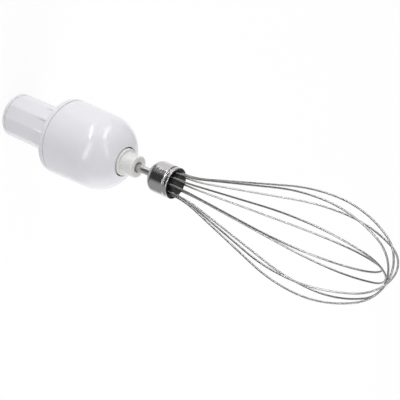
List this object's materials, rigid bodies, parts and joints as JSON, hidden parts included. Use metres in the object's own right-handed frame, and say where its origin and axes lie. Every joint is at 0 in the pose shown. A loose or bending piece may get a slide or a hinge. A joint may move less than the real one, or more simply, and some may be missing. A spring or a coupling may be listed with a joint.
{
  "type": "immersion blender whisk attachment",
  "caption": "Wire balloon whisk on a short steel shaft, driven through a white bell-shaped reduction gearbox whose sleeve plugs into a hand blender's motor unit.",
  "frame": {"origin": "on the axis of rotation, in the plane of the sleeve's open end, which is the part's lowest face", "axes": "+Z along the axis of rotation, from the sleeve to the tip of the whisk; X and Y across it, with the first wire loop in the plane next to Y"},
  "size_m": [0.0588, 0.0562, 0.2894],
  "materials": {
    "housing_plastic": "glossy white moulding",
    "nylon": "natural, slightly see-through nylon",
    "acetal": "natural acetal, moulded gear teeth",
    "black_plastic": "satin black moulding",
    "rubber_grey": "soft grey seal",
    "bronze": "sintered, oiled",
    "ground_steel": "ground and polished",
    "polished_cup": "mirror polished, deep drawn",
    "spring_wire": "drawn spring wire, bright"
  },
  "bodies": {
    "housing": {"sleeve": "housing_plastic", "rear_cover": "housing_plastic", "bell_housing": "housing_plastic", "joint_ring": "rubber_grey", "ring_gear": "acetal", "input_bush": "bronze", "input_washer": "ground_steel", "output_bush": "bronze", "output_washer": "ground_steel", "nose_seal": "rubber_grey"},
    "input": {"input_coupling": "black_plastic", "input_shaft": "ground_steel", "input_circlip": "ground_steel", "sun_pinion": "ground_steel"},
    "carrier": {"planet_carrier": "acetal", "output_spigot": "nylon", "planet_pin_1": "ground_steel", "planet_pin_2": "ground_steel", "planet_pin_3": "ground_steel"},
    "planet_1": {"planet_gear_1": "acetal"},
    "planet_2": {"planet_gear_2": "acetal"},
    "planet_3": {"planet_gear_3": "acetal"},
    "whisk": {"whisk_shaft": "ground_steel", "snap_ring": "ground_steel", "ferrule": "polished_cup", "wire_holder": "black_plastic", "whisk_wire_1": "spring_wire", "whisk_wire_2": "spring_wire", "whisk_wire_3": "spring_wire", "whisk_wire_4": "spring_wire", "whisk_wire_5": "spring_wire"}
  },
  "joints": [
    {"name": "output_spin", "type": "hinge", "parent": "housing", "child": "carrier", "pos_m": [0, 0, 0.086], "axis": [0, 0, 1], "continuous": true},
    {"name": "input_spin", "type": "hinge", "parent": "housing", "child": "input", "pos_m": [0, 0, 0.04], "axis": [0, 0, 1], "continuous": true},
    {"name": "planet_1_spin", "type": "hinge", "parent": "carrier", "child": "planet_1", "pos_m": [0, 0.012, 0.06], "axis": [0, 0, 1], "continuous": true},
    {"name": "planet_2_spin", "type": "hinge", "parent": "carrier", "child": "planet_2", "pos_m": [-0.01039, -0.006, 0.06], "axis": [0, 0, 1], "continuous": true},
    {"name": "planet_3_spin", "type": "hinge", "parent": "carrier", "child": "planet_3", "pos_m": [0.01039, -0.006, 0.06], "axis": [0, 0, 1], "continuous": true},
    {"name": "whisk_pull", "type": "slide", "parent": "carrier", "child": "whisk", "axis": [0, 0, 1], "range_m": [0, 0.026]}
  ],
  "couplings": [
    {"joint": "input_spin", "follows": "output_spin", "ratio": 5},
    {"joint": "planet_1_spin", "follows": "output_spin", "ratio": -2.6667},
    {"joint": "planet_2_spin", "follows": "output_spin", "ratio": -2.6667},
    {"joint": "planet_3_spin", "follows": "output_spin", "ratio": -2.6667}
  ]
}
